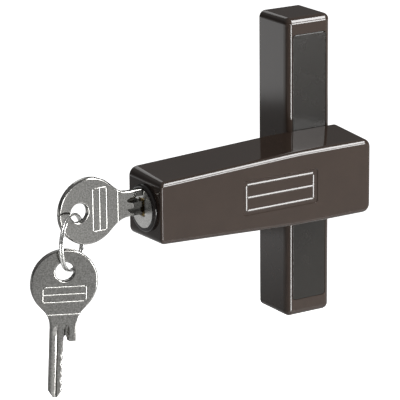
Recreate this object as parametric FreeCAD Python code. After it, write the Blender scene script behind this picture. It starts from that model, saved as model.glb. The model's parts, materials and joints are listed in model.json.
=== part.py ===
import FreeCAD, Part
import math
import os

from FreeCAD import Vector

# Keyed swing-arm window lock in millimetres.
# A hollow bar is screwed to the window frame. A lever turns on a stud at the bar's middle and
# holds a key cylinder in its free end. The key drives a bolt along the lever into an index disc.
# X runs along the lever to its short end, +Y into the wall, +Z up.
# The origin is on the wall plane, on the stud's axis. Depths are distances from the wall plane.

# Base bar
base_height = 120.0
base_width = 20.5
base_depth = 19.0
base_edge_radius = 2.6
base_wall = 2.8
base_front_wall = 4.0
pivot_block_half = 10.0

# Mounting screws and their covers
screw_hole_radius = 2.3
screw_socket_half = 4.6
screw_seat_depth = 10.0
first_screw_height = 25.0
screw_spacing = 20.0
screw_block_half = 6.6
cover_width = 16.0
cover_thickness = 1.6
cover_corner_radius = 1.5
cover_end_margin = 6.7
cover_inner_end = 14.0
cover_gap = 0.12
cover_peg_length = 3.5

# Pivot stud and what sits on it
pivot_gap = 0.05
stud_shank_half = 4.4
stud_shank_length = 12.5
stud_journal_radius = 6.0
stud_square = 8.0
stud_thread_radius = 3.9
stud_thread_length = 4.6
glide_pad_thickness = 0.4
glide_pad_width = 15.0
glide_pad_height = 25.0
hub_radius = 9.0
hub_length = 5.6
wave_washer_thickness = 0.6
wave_washer_radius = 8.8
disc_radius = 10.6
disc_thickness = 6.1
notch_floor_radius = 5.9
nut_across_flats = 13.0
nut_thickness = 4.0

# Lever housing
lever_left = -81.0
lever_right = 14.4
lever_depth = 22.5
lever_half_pivot = 15.6
lever_half_end = 12.9
lever_knee = -20.0
lever_left_radius = 2.8
lever_right_radius = 3.2
lever_draft = 1.0
lever_edge_radius = 1.5
lever_wall = 2.2
lever_front_wall = 2.4
guide_sleeve_gap = 1.0
guide_disc_gap = 4.4
panel_length = 32.4
panel_height = 8.7
panel_center_x = -28.3
panel_center_z = 1.4
panel_depth = 0.35
panel_radius = 1.2

# Back plate of the lever
plate_thickness = 2.0
plate_lip = 1.3
plate_overlap = 1.8
plate_gap = 0.1
plate_boss_half = 2.4
plate_screw_radius = 1.25
plate_screw_length = 7.0
plate_screw_head_radius = 2.3
plate_screw_head_height = 1.3
plate_screw_socket_radius = 1.15
plate_screw_socket_depth = 0.65
left_screw_distance = 6.1
left_screw_height = 9.2
right_screw_distance = 4.9
right_screw_height = 10.9

# Key cylinder, its axis is at half the lever's depth
collar_radius = 9.0
collar_length = 1.5
collar_chamfer = 0.6
cylinder_radius = 8.0
cylinder_gap = 0.05
cylinder_pin_radius = 1.5
cylinder_pin_distance = 11.0
cylinder_pin_reach = 1.3
wafer_groove_start = 1.1
wafer_groove_width = 4.6
wafer_groove_depth = 1.0

# Plug
plug_radius = 5.5
plug_head_radius = 7.4
plug_head_length = 2.6
plug_cap_thickness = 0.8
plug_gap = 0.05
plug_end_wall = 2.75
tail_half = 3.1
tail_length = 2.5
clip_neck_half = 2.4
clip_thickness = 0.8
clip_half = 5.5
cap_slot_width = 4.2
cap_slot_margin = 0.9
keyway_gap = 0.1
keyway_end_gap = 0.5

# Wafers
wafer_count = 5
first_wafer = 2.0
last_wafer_to_tip = 1.25
wafer_thickness = 1.2
wafer_half_width = 3.0
wafer_half_height = 4.4
wafer_gap = 0.1
wafer_lug_width = 1.25
wafer_lug_bottom = 1.2
wafer_lug_height = 1.2
wafer_spring_half = 0.6
wafer_spring_length = 3.7

# Drive sleeve, pin and bolt
sleeve_radius = 6.0
sleeve_bore_radius = 3.45
sleeve_length = 16.0
sleeve_floor = 1.0
bolt_travel = 5.0
bolt_turn = 90.0
slot_width = 3.8
slot_overrun = 25.0
slot_steps = 6
slot_margin = 0.3
drive_pin_radius = 1.2
drive_pin_length = 11.7
drive_pin_distance = 6.5
bolt_shank_end_gap = 1.0
bolt_shank_gap = 0.1
bolt_head_gap = 2.0
bolt_height = 7.0
bolt_gap = 0.15
bolt_tip_gap = 0.6
bolt_tip_chamfer = 0.8
bolt_tongue_length = 4.0
bolt_tongue_thickness = 5.4

# Keys, lengths are measured from the bow's far end
key_bow_radius = 12.6
key_thickness = 2.2
key_hole_distance = 8.35
key_hole_radius = 3.5
key_shoulder_half = 4.95
key_neck_start = 26.0
key_neck_radius = 4.0
key_block_length = 35.2
key_blade_height = 5.15
key_blade_length = 56.5
key_tip_length = 2.6
key_tip_half = 0.8
key_panel_start = 13.8
key_panel_length = 6.3
key_panel_half = 8.4
key_panel_depth = 0.15
key_line_distance = 24.6
key_line_width = 0.5
key_line_depth = 0.15
key_web_width = 2.15
key_web_depth = 1.3
key_groove_offset = 1.55
key_groove_width = 1.5
key_groove_depth = 0.75
key_groove_start = 28.4
key_cutter_radius = 14.0
key_back_groove_offset = 3.1
key_back_groove_depth = 0.6
key_cut_depths = [0.35, 0.55, 0.25, 0.5, 0.3]
key_cut_flat = 0.9
key_bow_offset = 2.9
key_seat_gap = 0.05

# Split ring of two turns with one crossing, and the spare key that hangs on it
ring_radius = 10.3
ring_wire_radius = 0.4
ring_wire_sides = 6
ring_turn_spacing = 1.24
ring_crossing_span = 50.0
ring_crossing_angle = 83.0
ring_heading = 51.2
ring_key_angle = 111.7
ring_key_shift_x = -0.32
ring_key_shift_z = -0.115
ring_spare_angle = -60.0
ring_spare_shift_x = 0.32
ring_spare_shift_z = 0.086
spare_heading = -14.9
spare_tilt = 3.0

# Depths that follow from the sizes above
pad_front = base_depth + glide_pad_thickness
lever_rear = pad_front
lever_front = lever_rear + lever_depth
axis_depth = lever_rear + lever_depth / 2
plate_front = lever_rear + plate_thickness
hub_front = plate_front + hub_length
disc_rear = hub_front + wave_washer_thickness
disc_front = disc_rear + disc_thickness
pocket_floor = lever_front - lever_front_wall
cover_floor = base_depth - cover_thickness

# Stations along the lever
collar_face = lever_left - collar_length
blade_end = collar_face - key_seat_gap - key_block_length + key_blade_length
cylinder_rear = blade_end + keyway_end_gap + plug_end_wall
cylinder_pin_x = lever_left + cylinder_pin_distance
plug_head_start = collar_face + plug_cap_thickness
plug_shoulder = collar_face + plug_head_length
clip_start = cylinder_rear + plug_gap
tail_end = cylinder_rear + tail_length
sleeve_end = tail_end + sleeve_length
drive_pin_x = tail_end + drive_pin_distance
guide_left = sleeve_end + guide_sleeve_gap
guide_right = -(disc_radius + guide_disc_gap)
bolt_shank_end = tail_end + sleeve_floor + bolt_shank_end_gap
bolt_head_start = sleeve_end + bolt_head_gap
bolt_tip = -(disc_radius + bolt_tip_gap)
plate_left = tail_end - plate_overlap
key_start = blade_end - key_blade_length
first_wafer_x = plug_shoulder + first_wafer
wafer_pitch = (blade_end - key_tip_length - last_wafer_to_tip - first_wafer_x) / (wafer_count - 1)
key_bottom = key_bow_offset - key_shoulder_half
key_top = key_bottom + key_blade_height
overrun = 1.0


def point(x, depth, z):
    return Vector(x, -depth, z)


def save(shape, node):
    shape.exportStep(os.path.join("parts", node + ".step"))


def rounded_wire(corners, depth):
    """Closed outline at one depth; each corner is x, z and its radius, which may be zero."""
    edges = []
    starts = []
    ends = []
    middles = []
    count = len(corners)
    for i in range(count):
        x, z, radius = corners[i]
        here = point(x, depth, z)
        before = point(corners[i - 1][0], depth, corners[i - 1][1])
        after = point(corners[(i + 1) % count][0], depth, corners[(i + 1) % count][1])
        back = (before - here).normalize()
        ahead = (after - here).normalize()
        half = back.getAngle(ahead) / 2
        reach = radius / math.tan(half)
        bisector = (back + ahead).normalize()
        starts.append(here + back * reach)
        ends.append(here + ahead * reach)
        middles.append(here + bisector * (radius / math.sin(half) - radius))
    for i in range(count):
        if corners[i][2] > 0:
            edges.append(Part.Arc(starts[i], middles[i], ends[i]).toShape())
        edges.append(Part.LineSegment(ends[i], starts[(i + 1) % count]).toShape())
    return Part.Wire(edges)


def prism(corners, depth_from, depth_to):
    face = Part.Face(rounded_wire(corners, depth_from))
    return face.extrude(Vector(0, depth_from - depth_to, 0))


def rectangle(x0, x1, z0, z1, radius):
    return [(x0, z0, radius), (x1, z0, radius), (x1, z1, radius), (x0, z1, radius)]


def block(x0, x1, depth_from, depth_to, z0, z1):
    return Part.makeBox(x1 - x0, depth_to - depth_from, z1 - z0, point(x0, depth_to, z0))


def disc(radius, depth_from, depth_to, x=0.0, z=0.0):
    """Round solid whose axis is square to the wall."""
    return Part.makeCylinder(radius, depth_to - depth_from, point(x, depth_from, z), Vector(0, -1, 0))


def hexagon(corner_radius, depth_from, depth_to, x=0.0, z=0.0):
    """Hexagonal solid whose axis is square to the wall."""
    corners = []
    for i in range(7):
        turn = math.radians(60 * i)
        corners.append(point(x + corner_radius * math.cos(turn), depth_from,
                             z + corner_radius * math.sin(turn)))
    return Part.Face(Part.makePolygon(corners)).extrude(Vector(0, depth_from - depth_to, 0))


def rod(radius, x0, x1, depth=axis_depth, z=0.0):
    """Round solid whose axis runs along the lever."""
    return Part.makeCylinder(radius, x1 - x0, point(x0, depth, z), Vector(1, 0, 0))


def screw_heights():
    return [first_screw_height, first_screw_height + screw_spacing]


# Base bar

def make_base():
    half_w = base_width / 2
    half_h = base_height / 2
    bar = block(-half_w, half_w, 0, base_depth, -half_h, half_h)
    bar = bar.makeFillet(base_edge_radius, [e for e in bar.Edges if e.BoundBox.YMin < -overrun])

    inner_w = half_w - base_wall
    block_edges = [pivot_block_half]
    for height in screw_heights():
        block_edges += [height - screw_block_half, height + screw_block_half]
    block_edges.append(half_h - base_wall)
    cell_depth = base_depth - base_front_wall
    for side in (1, -1):
        for low, high in zip(block_edges[::2], block_edges[1::2]):
            z0, z1 = sorted((side * low, side * high))
            bar = bar.cut(block(-inner_w, inner_w, 0, cell_depth, z0, z1))
        bar = bar.cut(prism(cover_outline(side, 0), cover_floor, base_depth))
        for height in screw_heights():
            bar = bar.cut(disc(screw_hole_radius, 0, base_depth, z=side * height))
            bar = bar.cut(screw_socket(side * height, screw_seat_depth, 0))
    return bar.cut(stud_shank())


def stud_shank():
    """Square shank that can't turn in the bar."""
    half = stud_shank_half
    return block(-half, half, base_depth - stud_shank_length, base_depth, -half, half)


def screw_socket(height, depth_from, gap):
    """Square recess over a screw head; a cover's peg is the same with a gap all round."""
    half = screw_socket_half - gap
    return block(-half, half, depth_from, cover_floor, height - half, height + half)


def cover_outline(side, gap):
    half = cover_width / 2 - gap
    z0, z1 = sorted((side * (cover_inner_end + gap), side * (base_height / 2 - cover_end_margin - gap)))
    return rectangle(-half, half, z0, z1, cover_corner_radius)


def make_cover(side):
    strip = prism(cover_outline(side, cover_gap), cover_floor, base_depth)
    for height in screw_heights():
        strip = strip.fuse(screw_socket(side * height, cover_floor - cover_peg_length, cover_gap))
    return strip.removeSplitter()


# Pivot

def make_stud():
    stud = stud_shank().fuse(disc(stud_journal_radius, base_depth, hub_front))
    half = stud_square / 2
    stud = stud.fuse(block(-half, half, hub_front, disc_front, -half, half))
    stud = stud.fuse(disc(stud_thread_radius, disc_front, disc_front + stud_thread_length))
    return stud.removeSplitter()


def make_glide_pad():
    half_w = glide_pad_width / 2
    half_h = glide_pad_height / 2
    pad = block(-half_w, half_w, base_depth, pad_front, -half_h, half_h)
    return pad.cut(disc(stud_journal_radius + pivot_gap, base_depth, pad_front))


def make_wave_washer():
    washer = disc(wave_washer_radius, hub_front, disc_rear)
    half = stud_square / 2 + pivot_gap
    return washer.cut(block(-half, half, hub_front, disc_rear, -half, half))


def make_index_disc():
    """Round disc with a square hole and a notch for each locked direction of the lever."""
    plate = disc(disc_radius, disc_rear, disc_front)
    half = stud_square / 2 + pivot_gap
    plate = plate.cut(block(-half, half, disc_rear, disc_front, -half, half))
    notch_half = bolt_height / 2 + bolt_gap
    notch = block(-disc_radius - overrun, -notch_floor_radius, disc_rear, disc_front,
                  -notch_half, notch_half)
    for angle in (-90, 0, 90):
        turned = notch.copy()
        turned.rotate(Vector(0, 0, 0), Vector(0, 1, 0), angle)
        plate = plate.cut(turned)
    return plate


def make_stud_nut():
    corner = nut_across_flats / 2 / math.cos(math.radians(30))
    nut = hexagon(corner, disc_front, disc_front + nut_thickness)
    return nut.cut(disc(stud_thread_radius, disc_front, disc_front + nut_thickness))


# Lever

def taper_half(x, inset):
    """Half height of the lever's outline at x, on the tapering stretch."""
    share = (x - lever_left) / (lever_knee - lever_left)
    return lever_half_end + (lever_half_pivot - lever_half_end) * share - inset


def lever_outline(left, inset, left_radius, right_radius):
    right = lever_right - inset
    half_left = taper_half(left, inset)
    half_right = lever_half_pivot - inset
    upper = [(left, half_left, left_radius), (lever_knee, half_right, 0), (right, half_right, right_radius)]
    lower = [(x, -z, radius) for x, z, radius in reversed(upper)]
    return upper + lower


def drafted(left, inset, left_radius, right_radius, depth_from, depth_to):
    """Solid between two depths whose sides lean in by the casting's draft."""
    rings = []
    for depth in (depth_from, depth_to):
        lean = lever_draft * (depth - lever_rear) / lever_depth
        corners = lever_outline(left, inset + lean, left_radius, right_radius)
        rings.append([point(x, depth, z) for x, z, radius in corners])
    rear, front = rings
    faces = [Part.Face(Part.makePolygon(ring + ring[:1])) for ring in rings]
    for i in range(len(rear)):
        side = [rear[i - 1], rear[i], front[i], front[i - 1], rear[i - 1]]
        faces.append(Part.Face(Part.makePolygon(side)))
    body = Part.makeSolid(Part.makeShell(faces))
    for radius in sorted({left_radius, right_radius} - {0}):
        corner_edges = []
        for low, high, corner in zip(rear, front, corners):
            if corner[2] == radius:
                middle = (low + high) * 0.5
                corner_edges.append(min(body.Edges, key=lambda e: e.CenterOfMass.distanceToPoint(middle)))
        body = body.makeFillet(radius, corner_edges)
    return body


def plate_outline(gap):
    return lever_outline(plate_left + gap, plate_lip + gap, 0, 0)


def plate_screw_places():
    """Two screws on a diagonal."""
    return [(plate_left + left_screw_distance, left_screw_height),
            (lever_right - right_screw_distance, -right_screw_height)]


def plate_boss(x, z):
    """Square boss for one screw, joined to the corner beside it."""
    x0, x1 = sorted((x - math.copysign(plate_boss_half, x), lever_right if x > 0 else tail_end))
    z0, z1 = sorted((z - math.copysign(plate_boss_half, z), math.copysign(lever_half_pivot, z)))
    return block(x0, x1, plate_front, lever_front, z0, z1)


def make_lever_housing():
    body = drafted(lever_left, 0, lever_left_radius, lever_right_radius, lever_rear, lever_front)
    front_edges = [e for e in body.Edges if abs(e.BoundBox.YMax + lever_front) < 1e-6]
    body = body.makeFillet(lever_edge_radius, front_edges)

    pocket = drafted(tail_end, lever_wall, 0, 0, lever_rear, pocket_floor)
    pocket = pocket.cut(block(guide_left, guide_right, lever_rear, lever_front,
                              -lever_half_pivot, lever_half_pivot))
    for x, z in plate_screw_places():
        pocket = pocket.cut(plate_boss(x, z))
    body = body.cut(pocket)
    body = body.cut(prism(plate_outline(0), lever_rear, plate_front))

    body = body.cut(rod(cylinder_radius + cylinder_gap, lever_left - overrun, tail_end))
    channel = bolt_height / 2 + bolt_gap
    body = body.cut(block(guide_left, guide_right, axis_depth - channel, axis_depth + channel,
                          -channel, channel))
    for x, z in plate_screw_places():
        body = body.cut(disc(plate_screw_radius, plate_front, lever_rear + plate_screw_length, x, z))
    pin_end = axis_depth - cylinder_radius + cylinder_pin_reach
    body = body.cut(disc(cylinder_pin_radius, lever_rear, pin_end, cylinder_pin_x))
    half_l = panel_length / 2
    half_h = panel_height / 2
    panel = rectangle(panel_center_x - half_l, panel_center_x + half_l,
                      panel_center_z - half_h, panel_center_z + half_h, panel_radius)
    return body.cut(prism(panel, lever_front - panel_depth, lever_front))


def make_back_plate():
    plate = prism(plate_outline(plate_gap), lever_rear, plate_front)
    plate = plate.fuse(disc(hub_radius, plate_front, hub_front))
    plate = plate.cut(disc(stud_journal_radius + pivot_gap, lever_rear, hub_front))
    for x, z in plate_screw_places():
        plate = plate.cut(disc(plate_screw_radius, lever_rear, plate_front, x, z))
        plate = plate.cut(screw_head(x, z))
    return plate.removeSplitter()


def screw_head(x, z):
    return Part.makeCone(plate_screw_head_radius, plate_screw_radius, plate_screw_head_height,
                         point(x, lever_rear, z), Vector(0, -1, 0))


def make_plate_screws():
    screws = []
    for x, z in plate_screw_places():
        shank = disc(plate_screw_radius, lever_rear, lever_rear + plate_screw_length, x, z)
        socket = hexagon(plate_screw_socket_radius, lever_rear, lever_rear + plate_screw_socket_depth, x, z)
        screws.append(shank.fuse(screw_head(x, z)).cut(socket).removeSplitter())
    return Part.makeCompound(screws)


# Key cylinder

def make_cylinder_housing():
    collar = rod(collar_radius, collar_face, lever_left)
    rim = [e for e in collar.Edges if abs(e.BoundBox.XMax - collar_face) < 1e-6]
    collar = collar.makeChamfer(collar_chamfer, rim)
    shell = collar.fuse(rod(cylinder_radius, lever_left, cylinder_rear))
    shell = shell.cut(rod(plug_head_radius + plug_gap, collar_face, plug_shoulder + plug_gap))
    shell = shell.cut(rod(plug_radius + plug_gap, collar_face, cylinder_rear))
    half = wafer_groove_width / 2
    top = plug_radius + wafer_groove_depth
    groove = block(plug_shoulder + wafer_groove_start, cylinder_rear,
                   axis_depth - half, axis_depth + half, -top, top)
    shell = shell.cut(groove)
    pin_end = axis_depth - cylinder_radius + cylinder_pin_reach
    return shell.cut(disc(cylinder_pin_radius, lever_rear, pin_end, cylinder_pin_x))


def make_cylinder_pin():
    pin_end = axis_depth - cylinder_radius + cylinder_pin_reach
    return disc(cylinder_pin_radius, lever_rear, pin_end, cylinder_pin_x)


def keyway(x0, x1, gap):
    half = key_thickness / 2 + gap
    return block(x0, x1, axis_depth - half, axis_depth + half, key_bottom - gap, key_top + gap)


def wafer_stations():
    return [first_wafer_x + wafer_pitch * i for i in range(wafer_count)]


def make_plug():
    """Round head and body, and a square tail with a neck for the clip."""
    plug = rod(plug_head_radius, plug_head_start, plug_shoulder)
    plug = plug.fuse(rod(plug_radius, plug_shoulder, cylinder_rear))
    plug = plug.fuse(block(cylinder_rear, tail_end, axis_depth - tail_half, axis_depth + tail_half,
                           -tail_half, tail_half))
    plug = plug.removeSplitter()
    groove_end = clip_start + clip_thickness + plug_gap
    for side in (1, -1):
        near, far = sorted((axis_depth + side * clip_neck_half, axis_depth + side * tail_half))
        plug = plug.cut(block(clip_start, groove_end, near, far, -tail_half, tail_half))
    plug = plug.cut(keyway(plug_head_start, blade_end + keyway_end_gap, keyway_gap))
    for x in wafer_stations():
        plug = plug.cut(wafer_slot(x))
    return plug


def wafer_slot(x):
    half_t = (wafer_thickness + wafer_gap) / 2
    half_w = wafer_half_width + wafer_gap
    lug_edge = axis_depth + half_w + wafer_lug_width
    spring_floor = wafer_lug_bottom - wafer_spring_length
    slot = block(x - half_t, x + half_t, axis_depth - half_w, axis_depth + half_w, -plug_radius, plug_radius)
    side = block(x - half_t, x + half_t, axis_depth, lug_edge, spring_floor, plug_radius)
    return slot.fuse(side)


def make_wafer(x):
    half_t = wafer_thickness / 2
    wafer = block(x - half_t, x + half_t, axis_depth - wafer_half_width, axis_depth + wafer_half_width,
                  -wafer_half_height, wafer_half_height)
    lug_edge = wafer_half_width + wafer_lug_width
    lug = block(x - half_t, x + half_t, axis_depth, axis_depth + lug_edge,
                wafer_lug_bottom, wafer_lug_bottom + wafer_lug_height)
    wafer = wafer.fuse(lug).cut(keyway(x - half_t, x + half_t, 2 * keyway_gap))
    return wafer.removeSplitter()


def make_wafer_springs():
    springs = []
    half = wafer_spring_half
    depth = axis_depth + wafer_half_width + wafer_gap + half
    for x in wafer_stations():
        springs.append(block(x - half, x + half, depth - half, depth + half,
                             wafer_lug_bottom - wafer_spring_length, wafer_lug_bottom))
    return Part.makeCompound(springs)


def make_plug_cap():
    cap = rod(plug_head_radius, collar_face, plug_head_start)
    half = cap_slot_width / 2
    low = key_bottom - cap_slot_margin
    high = key_top + cap_slot_margin
    return cap.cut(block(collar_face, plug_head_start, axis_depth - half, axis_depth + half, low, high))


def make_plug_clip():
    """Flat fork that is pushed over the tail's neck; its corners bear on the housing's rear face."""
    clip_end = clip_start + clip_thickness
    clip = block(clip_start, clip_end, axis_depth - clip_half, axis_depth + clip_half, -clip_half, clip_half)
    mouth = clip_neck_half + plug_gap
    return clip.cut(block(clip_start, clip_end, axis_depth - mouth, axis_depth + mouth,
                          -clip_half, tail_half + plug_gap))


# Drive

def helical_slot():
    """Cutter along a helix that turns by bolt_turn while it advances by bolt_travel, in flat strips."""
    low = sleeve_bore_radius - slot_margin
    high = sleeve_radius + slot_margin
    sections = []
    for i in range(slot_steps + 1):
        angle = -slot_overrun + (bolt_turn + 2 * slot_overrun) * i / slot_steps
        x = drive_pin_x + bolt_travel * angle / bolt_turn
        turn = math.radians(angle)
        corners = []
        for radius, side in ((low, -1), (high, -1), (high, 1), (low, 1)):
            corners.append(point(x + side * slot_width / 2, axis_depth + radius * math.cos(turn),
                                 -radius * math.sin(turn)))
        sections.append(corners)
    faces = [Part.Face(Part.makePolygon(ends + ends[:1])) for ends in (sections[0], sections[-1])]
    for here, after in zip(sections, sections[1:]):
        for i in range(4):
            a, b, c, d = here[i - 1], here[i], after[i], after[i - 1]
            faces.append(Part.Face(Part.makePolygon([a, b, c, a])))
            faces.append(Part.Face(Part.makePolygon([a, c, d, a])))
    return Part.makeSolid(Part.makeShell(faces)).removeSplitter()


def make_drive_sleeve():
    sleeve = rod(sleeve_radius, tail_end, sleeve_end)
    sleeve = sleeve.cut(rod(sleeve_bore_radius, tail_end + sleeve_floor, sleeve_end))
    cutter = helical_slot()
    sleeve = sleeve.cut(cutter)
    cutter.rotate(point(0, axis_depth, 0), Vector(1, 0, 0), 180)
    return sleeve.cut(cutter)


def make_bolt():
    half = bolt_height / 2
    head = block(bolt_head_start, bolt_tip, axis_depth - half, axis_depth + half, -half, half)
    tip_edges = [e for e in head.Edges if abs(e.BoundBox.XMin - bolt_tip) < 1e-6]
    head = head.makeChamfer(bolt_tip_chamfer, tip_edges)
    tongue_start = bolt_tip - bolt_tongue_length
    tongue = bolt_tongue_thickness / 2
    head = head.cut(block(tongue_start, bolt_tip, axis_depth - half, axis_depth - tongue, -half, half))
    head = head.cut(block(tongue_start, bolt_tip, axis_depth + tongue, axis_depth + half, -half, half))
    shank = rod(sleeve_bore_radius - bolt_shank_gap, bolt_shank_end, bolt_head_start)
    bolt = head.fuse(shank).removeSplitter()
    return bolt.cut(drive_pin_shape())


def drive_pin_shape():
    half = drive_pin_length / 2
    return disc(drive_pin_radius, axis_depth - half, axis_depth + half, drive_pin_x)


# Keys, drawn with the bow's end at the origin, the blade along +X and the stop's side up

def key_outline():
    """Bow, tangent flanks, neck and the block that stops the key."""
    half = key_shoulder_half
    neck = Vector(key_neck_start - key_bow_radius, half, 0)
    distance = neck.Length
    turn = math.atan2(neck.y, neck.x) + math.acos(key_bow_radius / distance)
    touch_x = key_bow_radius + key_bow_radius * math.cos(turn)
    touch_z = key_bow_radius * math.sin(turn)
    flank_x = touch_x - key_neck_start
    flank_z = touch_z - half
    flank = math.hypot(flank_x, flank_z)
    bend = math.pi - math.acos(flank_x / flank)
    reach = key_neck_radius * math.tan(bend / 2)
    before_x = key_neck_start + flank_x / flank * reach
    before_z = half + flank_z / flank * reach
    after_x = key_neck_start + reach
    center_z = half + key_neck_radius
    aim = math.atan2(key_neck_start - after_x, key_neck_radius) / 2
    middle_x = after_x + key_neck_radius * math.sin(aim)
    middle_z = center_z - key_neck_radius * math.cos(aim)

    def at(x, z):
        return Vector(x, -key_thickness / 2, z)

    edges = [Part.Arc(at(touch_x, -touch_z), at(0, 0), at(touch_x, touch_z)).toShape(),
             Part.LineSegment(at(touch_x, touch_z), at(before_x, before_z)).toShape()]
    corners = [at(before_x, before_z), at(middle_x, middle_z), at(after_x, half)]
    edges.append(Part.Arc(*corners).toShape())
    edges.append(Part.LineSegment(at(after_x, half), at(key_block_length, half)).toShape())
    edges.append(Part.LineSegment(at(key_block_length, half), at(key_block_length, -half)).toShape())
    edges.append(Part.LineSegment(at(key_block_length, -half), at(after_x, -half)).toShape())
    edges.append(Part.Arc(*[at(c.x, -c.z) for c in reversed(corners)]).toShape())
    edges.append(Part.LineSegment(at(before_x, -before_z), at(touch_x, -touch_z)).toShape())
    return Part.Wire(edges)


def make_key():
    half_t = key_thickness / 2
    plate = Part.Face(key_outline()).extrude(Vector(0, key_thickness, 0))
    plate = plate.cut(Part.makeCylinder(key_hole_radius, key_thickness,
                                        Vector(key_hole_distance, -half_t, 0), Vector(0, 1, 0)))
    for face_y, inward in ((-half_t, 1), (half_t, -1)):
        plate = plate.cut(coined_panel(face_y, inward))
        plate = plate.cut(coined_line(face_y, inward))

    bottom = -key_shoulder_half
    top = bottom + key_blade_height
    plate = plate.fuse(make_blade(bottom, top))
    web = cutter_path(top, top + key_web_width, key_web_depth, -1)
    front = cutter_path(bottom + key_groove_offset, bottom + key_groove_offset + key_groove_width,
                        key_groove_depth, -1)
    back = cutter_path(bottom + key_back_groove_offset,
                       bottom + key_back_groove_offset + key_groove_width, key_back_groove_depth, 1)
    return plate.cut(web).cut(front).cut(back).removeSplitter()


def coined_panel(face_y, inward):
    low = min(face_y, face_y + inward * key_panel_depth)
    return Part.makeBox(key_panel_length, key_panel_depth, 2 * key_panel_half,
                        Vector(key_panel_start, low, -key_panel_half))


def coined_line(face_y, inward):
    low = min(face_y, face_y + inward * key_line_depth)
    return Part.makeBox(key_line_width, key_line_depth, 2 * key_bow_radius,
                        Vector(key_line_distance, low, -key_bow_radius))


def make_blade(bottom, top):
    """Blade with its pointed tip and the wafer cuts along its upper edge."""
    tip_start = key_blade_length - key_tip_length
    middle = (bottom + top) / 2
    root = key_block_length - overrun
    blade = blade_plate([(root, bottom), (tip_start, bottom), (key_blade_length, middle - key_tip_half),
                         (key_blade_length, middle + key_tip_half), (tip_start, top), (root, top)])
    for station, depth in zip(wafer_stations(), key_cut_depths):
        center = station - key_start
        flat = key_cut_flat / 2
        edge = flat + depth + overrun
        blade = blade.cut(blade_plate([(center - flat, top - depth), (center + flat, top - depth),
                                       (center + edge, top + overrun), (center - edge, top + overrun)]))
    return blade


def blade_plate(outline):
    corners = [Vector(x, -key_thickness / 2, z) for x, z in outline + outline[:1]]
    return Part.Face(Part.makePolygon(corners)).extrude(Vector(0, key_thickness, 0))


def cutter_path(z0, z1, depth, side):
    """Groove milled along the blade; it runs out at its start in the cutter's own radius."""
    run_out = math.sqrt(key_cutter_radius ** 2 - (key_cutter_radius - depth) ** 2)
    start = key_groove_start + run_out
    surface = side * key_thickness / 2
    wheel = Part.makeCylinder(key_cutter_radius, z1 - z0,
                              Vector(start, surface + side * (key_cutter_radius - depth), z0))
    low = min(surface, surface - side * depth)
    channel = Part.makeBox(key_blade_length - start, depth, z1 - z0, Vector(start, low, z0))
    return wheel.fuse(channel)


def place_lock_key():
    key = make_key()
    key.translate(point(key_start, axis_depth, key_bow_offset))
    return key


# Split ring

def heading_vector(angle):
    """Horizontal direction in the ring's plane, from its rear side to its front side."""
    return Vector(-math.sin(math.radians(angle)), -math.cos(math.radians(angle)), 0)


ring_across = heading_vector(ring_heading)
ring_normal = Vector(math.cos(math.radians(ring_heading)), -math.sin(math.radians(ring_heading)), 0)
lock_key_hole = point(key_start + key_hole_distance, axis_depth, key_bow_offset)


def ring_spoke(angle):
    turn = math.radians(angle)
    return ring_across * (ring_radius * math.cos(turn)) + Vector(0, 0, ring_radius * math.sin(turn))


def ring_center():
    shift = Vector(ring_key_shift_x * key_hole_radius, 0, ring_key_shift_z * key_hole_radius)
    return lock_key_hole + shift - ring_spoke(ring_key_angle)


def ring_offset(angle):
    """Distance along the ring's axis and its slope, at an angle counted from the crossing."""
    share = (angle - (360 - ring_crossing_span / 2)) / ring_crossing_span
    share = min(max(share, 0.0), 1.0)
    offset = ring_turn_spacing * (share * share * (3 - 2 * share) - 0.5)
    slope = ring_turn_spacing * 6 * share * (1 - share) / math.radians(ring_crossing_span)
    return offset, slope


def ring_point(angle):
    offset, slope = ring_offset(angle)
    around = math.radians(angle + ring_crossing_angle)
    spoke = ring_across * math.cos(around) + Vector(0, 0, math.sin(around))
    along = (Vector(0, 0, math.cos(around)) - ring_across * math.sin(around)) * ring_radius
    place = ring_center() + spoke * ring_radius + ring_normal * offset
    return place, (along + ring_normal * slope).normalize()


def biarc(start, start_way, end, end_way):
    """Two arcs that join two points and keep the direction at both."""
    chord = end - start
    ways = start_way + end_way
    a = 2 * (start_way.dot(end_way) - 1)
    b = -2 * chord.dot(ways)
    c = chord.dot(chord)
    reach = (-b - math.sqrt(b * b - 4 * a * c)) / (2 * a)
    first_apex = start + start_way * reach
    second_apex = end - end_way * reach
    joint = (first_apex + second_apex) * 0.5
    return [arc_by_apex(start, first_apex, joint), arc_by_apex(joint, second_apex, end)]


def arc_by_apex(start, apex, end):
    half_turn = (apex - start).getAngle(end - apex) / 2
    middle = (start + end) * 0.5
    share = math.cos(half_turn) / (1 + math.cos(half_turn))
    return Part.Arc(start, middle + (apex - middle) * share, end).toShape()


def ring_angles():
    """Stations along the ring: long steps round the turns, short ones through the crossing."""
    half = ring_crossing_span / 2
    flat = 360 - 2 * half
    before = [half + flat * i / 4 for i in range(5)]
    after = [360 + half + flat * i / 4 for i in range(5)]
    return before + [360] + after


def make_key_ring():
    edges = []
    angles = ring_angles()
    for low, high in zip(angles, angles[1:]):
        start, start_way = ring_point(low)
        end, end_way = ring_point(high)
        edges += biarc(start, start_way, end, end_way)
    first, way = ring_point(angles[0])
    across = way.cross(ring_normal).normalize()
    along = across.cross(way)
    corners = []
    for i in range(ring_wire_sides + 1):
        turn = math.radians(360 / ring_wire_sides * (i + 0.5))
        corners.append(first + (across * math.cos(turn) + along * math.sin(turn)) * ring_wire_radius)
    profile = Part.makePolygon(corners)
    return Part.Wire(edges).makePipeShell([profile], True, False)


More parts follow.
